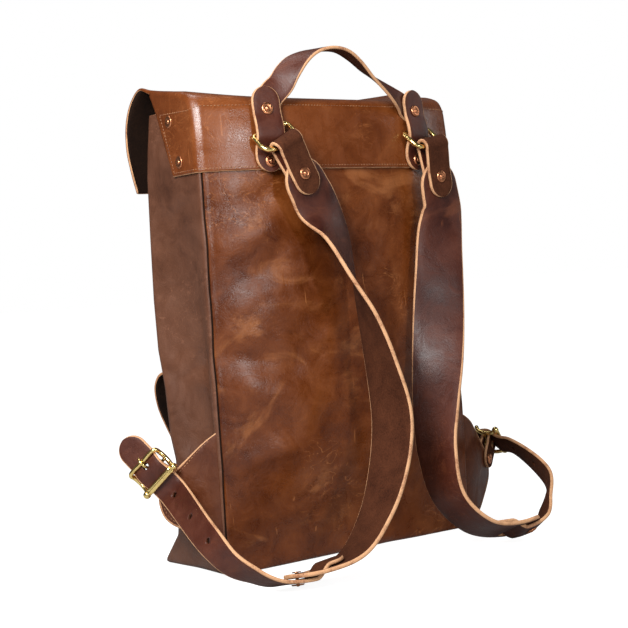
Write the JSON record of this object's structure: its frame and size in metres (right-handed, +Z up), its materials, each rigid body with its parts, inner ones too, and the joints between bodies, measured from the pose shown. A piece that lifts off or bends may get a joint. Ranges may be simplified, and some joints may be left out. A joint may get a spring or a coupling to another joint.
{
  "type": "leather backpack",
  "caption": "Flap-top leather backpack with a riveted yoke, a grab handle, shoulder straps on rings and brass buckles at the lower corners.",
  "frame": {"origin": "on the floor, under the middle of the bag's base", "axes": "+Z up, +Y out of the side that lies against the wearer's back, +X towards the wearer's right"},
  "size_m": [0.46, 0.2641, 0.4836],
  "materials": {
    "body_leather": "waxed pull-up leather, satin",
    "gusset_leather": "waxed pull-up leather, satin",
    "strap_leather": "harness leather, satin, raw cut edges",
    "lining": "flesh side, matt",
    "solid_brass": "polished",
    "copper_rivet": "peened copper, satin"
  },
  "bodies": {
    "bag": {"back_panel": "body_leather", "front_panel": "body_leather", "bottom_panel": "body_leather", "inner_pocket": "lining", "yoke": "body_leather", "closure_stud": "solid_brass", "front_pocket": "body_leather", "pocket_stud": "solid_brass", "gusset_right": "gusset_leather", "yoke_rivet_right_1": "copper_rivet", "yoke_rivet_right_2": "copper_rivet", "handle_end_right": "strap_leather", "upper_chape_right": "strap_leather", "upper_rivet_right": "copper_rivet", "lower_rivet_right": "copper_rivet", "wing_right": "body_leather", "buckle_chape_right": "strap_leather", "wing_rivet_right": "copper_rivet", "gusset_left": "gusset_leather", "yoke_rivet_left_1": "copper_rivet", "yoke_rivet_left_2": "copper_rivet", "handle_end_left": "strap_leather", "upper_chape_left": "strap_leather", "upper_rivet_left": "copper_rivet", "lower_rivet_left": "copper_rivet", "wing_left": "body_leather", "buckle_chape_left": "strap_leather", "wing_rivet_left": "copper_rivet"},
    "flap": {"flap": "body_leather", "closure_strap": "strap_leather", "closure_rivet_1": "copper_rivet", "closure_rivet_2": "copper_rivet"},
    "pocket_flap": {"pocket_flap": "body_leather"},
    "handle": {"handle": "strap_leather"},
    "ring_right": {"d_ring_right": "solid_brass"},
    "strap_right": {"fold_chape_right": "strap_leather", "fold_rivet_right": "copper_rivet", "shoulder_strap_right": "strap_leather", "adjusting_strap_right": "strap_leather", "joint_rivet_right": "copper_rivet", "buckle_right": "solid_brass"},
    "prong_right": {"prong_right": "solid_brass"},
    "ring_left": {"d_ring_left": "solid_brass"},
    "strap_left": {"fold_chape_left": "strap_leather", "fold_rivet_left": "copper_rivet", "shoulder_strap_left": "strap_leather", "adjusting_strap_left": "strap_leather", "joint_rivet_left": "copper_rivet", "buckle_left": "solid_brass"},
    "prong_left": {"prong_left": "solid_brass"}
  },
  "joints": [
    {"name": "flap_fold", "type": "hinge", "parent": "bag", "child": "flap", "pos_m": [0, -0.02065, 0.4575], "axis": [-1, 0, 0], "range_deg": [0, 130]},
    {"name": "pocket_flap_fold", "type": "hinge", "parent": "bag", "child": "pocket_flap", "pos_m": [0, -0.0477, 0.185], "axis": [-1, 0, 0], "range_deg": [0, 90]},
    {"name": "handle_tilt", "type": "hinge", "parent": "bag", "child": "handle", "pos_m": [0, 0.079, 0.4466], "axis": [1, 0, 0], "range_deg": [-70, 15]},
    {"name": "ring_right_swing", "type": "hinge", "parent": "bag", "child": "ring_right", "pos_m": [0.08655, 0.08062, 0.40551], "axis": [0.9286, -0.1498, -0.3395], "range_deg": [-1, 1.5]},
    {"name": "ring_left_swing", "type": "hinge", "parent": "bag", "child": "ring_left", "pos_m": [-0.08892, 0.08023, 0.40514], "axis": [0.9773, 0.1596, -0.1396], "range_deg": [-0.4, 1.5]},
    {"name": "strap_right_sway", "type": "hinge", "parent": "bag", "child": "strap_right", "pos_m": [0.08075, 0.09773, 0.39097], "axis": [0.361, -0.2707, -0.8924], "range_deg": [-1.8, 3.5]},
    {"name": "strap_left_sway", "type": "hinge", "parent": "bag", "child": "strap_left", "pos_m": [-0.09672, 0.09576, 0.38978], "axis": [-0.3382, -0.2189, -0.9153], "range_deg": [-3.5, 0.5]},
    {"name": "prong_right_lift", "type": "hinge", "parent": "strap_right", "child": "prong_right", "pos_m": [0.19917, 0.01009, 0.09828], "axis": [-0.4726, 0.5636, 0.6775], "range_deg": [0, 8]},
    {"name": "prong_left_lift", "type": "hinge", "parent": "strap_left", "child": "prong_left", "pos_m": [-0.21069, 0.02362, 0.08378], "axis": [-0.6577, -0.3488, -0.6677], "range_deg": [0, 8]}
  ]
}
